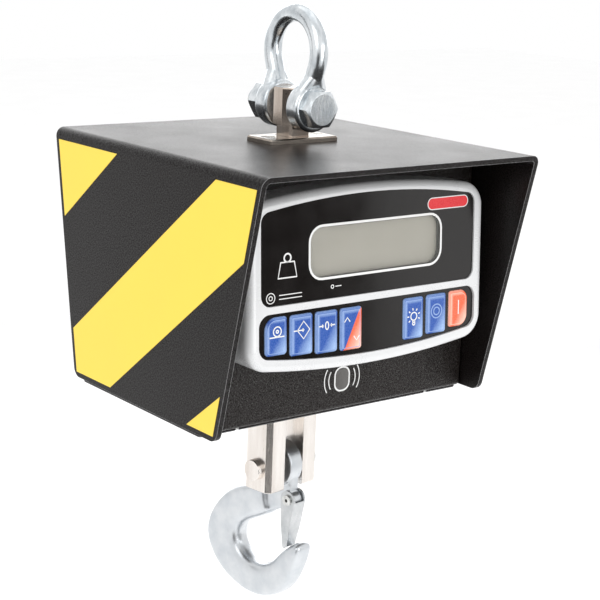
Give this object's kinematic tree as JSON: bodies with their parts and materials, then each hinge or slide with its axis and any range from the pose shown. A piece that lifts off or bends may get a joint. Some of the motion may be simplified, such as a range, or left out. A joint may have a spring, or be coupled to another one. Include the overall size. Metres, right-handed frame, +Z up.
{
  "type": "crane scale",
  "caption": "Hanging crane scale: bow shackle, slanted hood over a display with keypad, load cell inside, clevis and latched eye hook below.",
  "frame": {"origin": "seat inside the top of the shackle bow, where a crane hook carries the scale", "axes": "+Z up; display faces -Y; X to the right across the display"},
  "size_m": [0.2804, 0.2986, 0.5245],
  "materials": {
    "galvanised": "hot-dip galvanised, mottled satin grey",
    "nickel_steel": "machined, nickel plated, warm satin",
    "bright_steel": "machined, nickel plated, satin",
    "dark_steel": "plain machined steel",
    "zinc_wire": "zinc plated",
    "zinc_sheet": "zinc plated sheet, satin",
    "zinc_steel": "forged, zinc plated, pale matt grey",
    "black_paint": "fine textured black powder coat",
    "yellow_vinyl": "yellow hazard bands, satin",
    "silver_plastic": "silver painted plastic, satin",
    "black_plastic": "moulded, matt",
    "black_gloss": "gloss black overlay film",
    "clear_window": "clear acrylic",
    "lcd_grey": "grey-green liquid crystal panel",
    "blue_key": "blue keycap, satin",
    "orange_key": "orange keycap, satin",
    "green_board": "circuit board",
    "dark_lens": "dark infrared window",
    "brass_post": "turned brass",
    "grey_case": "sealed battery case"
  },
  "bodies": {
    "shackle": {"shackle_bow": "galvanised", "shackle_bolt": "galvanised", "shackle_nut": "galvanised", "shackle_cotter": "zinc_wire"},
    "housing": {"base_brackets": "black_paint", "base_plate": "black_paint", "base_plate_screws": "zinc_wire", "battery": "grey_case", "battery_strap": "zinc_sheet", "board_standoffs": "brass_post", "cell_studs": "dark_steel", "charge_jack": "black_plastic", "clevis_pin": "bright_steel", "display_back": "black_plastic", "display_bezel": "silver_plastic", "display_bezel_screws": "zinc_wire", "display_board": "green_board", "display_window": "clear_window", "front_panel": "black_paint", "hazard_stripes_left": "yellow_vinyl", "hazard_stripes_right": "yellow_vinyl", "hood": "black_paint", "jam_nuts": "dark_steel", "key_switches": "black_plastic", "keypad_mat": "black_gloss", "label_plate": "black_gloss", "lcd_gasket": "black_plastic", "lcd_panel": "lcd_grey", "load_cell": "nickel_steel", "lower_clevis": "bright_steel", "main_board": "green_board", "pin_ring": "zinc_wire", "rear_cover": "black_paint", "rear_cover_screws": "zinc_wire", "rear_rails": "black_paint", "sensor_lens": "dark_lens", "sensor_receiver": "black_plastic", "top_plate": "nickel_steel", "top_plate_screws": "zinc_wire", "upper_lug": "nickel_steel"},
    "hook": {"hook_body": "zinc_steel", "latch_rivet": "zinc_wire", "latch_spring": "zinc_wire"},
    "latch": {"latch": "zinc_sheet"},
    "key_print": {"key_print": "blue_key"},
    "key_tare": {"key_tare": "blue_key"},
    "key_zero": {"key_zero": "blue_key"},
    "key_unit": {"key_unit": "blue_key"},
    "key_light": {"key_light": "blue_key"},
    "key_off": {"key_off": "blue_key"},
    "key_on": {"key_on": "orange_key"}
  },
  "joints": [
    {"name": "shackle_swing", "type": "hinge", "parent": "shackle", "child": "housing", "pos_m": [0, 0, -0.068], "axis": [0, 1, 0], "range_deg": [-100, 100]},
    {"name": "hook_swing", "type": "hinge", "parent": "housing", "child": "hook", "pos_m": [0, 0, -0.38], "axis": [0.9903, 0.1392, 0], "range_deg": [-70, 70]},
    {"name": "latch_hinge", "type": "hinge", "parent": "hook", "child": "latch", "pos_m": [0.0023, -0.01634, -0.4096], "axis": [0.9903, 0.1392, 0], "range_deg": [0, 32], "stiffness_Nm_per_rad": 0.05, "springref_deg": -17.19},
    {"name": "press_print", "type": "slide", "parent": "housing", "child": "key_print", "axis": [0, 0.9984, -0.0558], "range_m": [0, 0.001], "stiffness_N_per_m": 300, "springref_m": -0.0005},
    {"name": "press_tare", "type": "slide", "parent": "housing", "child": "key_tare", "axis": [0, 0.9984, -0.0558], "range_m": [0, 0.001], "stiffness_N_per_m": 300, "springref_m": -0.0005},
    {"name": "press_zero", "type": "slide", "parent": "housing", "child": "key_zero", "axis": [0, 0.9984, -0.0558], "range_m": [0, 0.001], "stiffness_N_per_m": 300, "springref_m": -0.0005},
    {"name": "press_unit", "type": "slide", "parent": "housing", "child": "key_unit", "axis": [0, 0.9984, -0.0558], "range_m": [0, 0.001], "stiffness_N_per_m": 300, "springref_m": -0.0005},
    {"name": "press_light", "type": "slide", "parent": "housing", "child": "key_light", "axis": [0, 0.9984, -0.0558], "range_m": [0, 0.001], "stiffness_N_per_m": 300, "springref_m": -0.0005},
    {"name": "press_off", "type": "slide", "parent": "housing", "child": "key_off", "axis": [0, 0.9984, -0.0558], "range_m": [0, 0.001], "stiffness_N_per_m": 300, "springref_m": -0.0005},
    {"name": "press_on", "type": "slide", "parent": "housing", "child": "key_on", "axis": [0, 0.9984, -0.0558], "range_m": [0, 0.001], "stiffness_N_per_m": 300, "springref_m": -0.0005}
  ]
}
